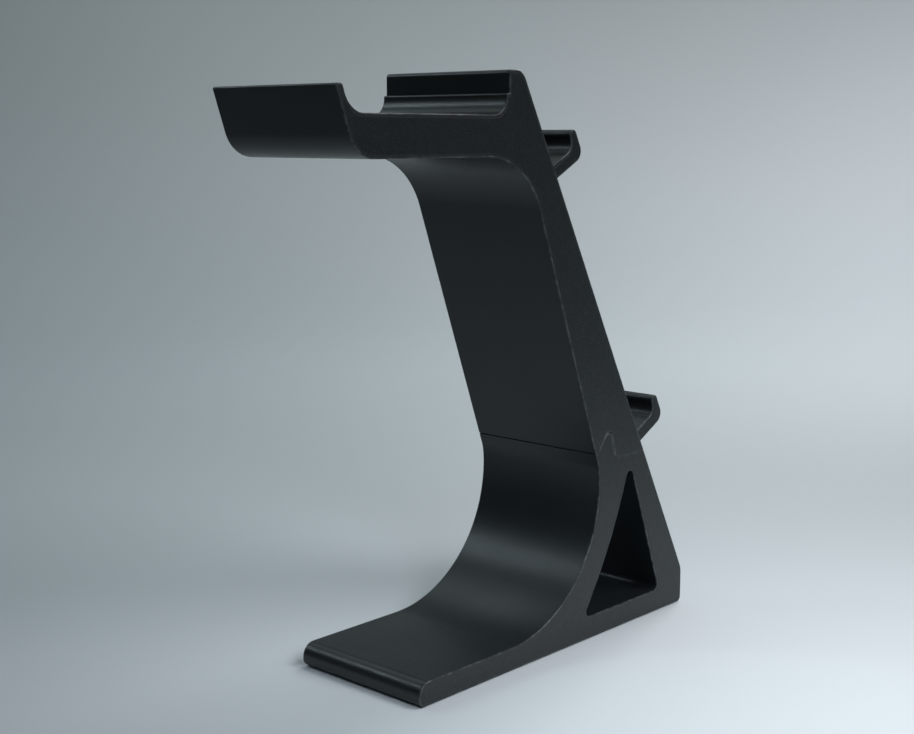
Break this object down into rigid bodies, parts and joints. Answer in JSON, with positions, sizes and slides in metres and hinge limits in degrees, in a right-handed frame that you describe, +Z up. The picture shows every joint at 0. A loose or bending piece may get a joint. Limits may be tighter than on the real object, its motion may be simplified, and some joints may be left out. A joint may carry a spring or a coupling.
{
  "type": "headphone and game controller stand",
  "caption": "Free-standing printed stand: a flat foot with a triangular opening, a leaning column, a trough cradle for a headset and shelf rests for controllers behind.",
  "frame": {"origin": "on the table under the middle of the stand's overall box: the middle of its width, and half way from the cradle's lip to the heel", "axes": "+X across the stand to the side seen from its front right, +Y from the nose and the cradle's lip to the heel and the controller rests, +Z up"},
  "size_m": [0.067, 0.216, 0.242],
  "materials": {
    "printed_plastic": "satin black filament print with fine layer lines",
    "insert_brass": "knurled, plain",
    "black_screw": "black oxide",
    "pad_rubber": "matt"
  },
  "bodies": {
    "root": {"foot": "printed_plastic", "column": "printed_plastic", "upper_rest": "printed_plastic", "lower_rest": "printed_plastic", "upper_rest_inserts": "insert_brass", "lower_rest_inserts": "insert_brass", "upper_rest_screws": "black_screw", "lower_rest_screws": "black_screw", "nose_pad": "pad_rubber", "heel_pad": "pad_rubber"}
  },
  "joints": []
}
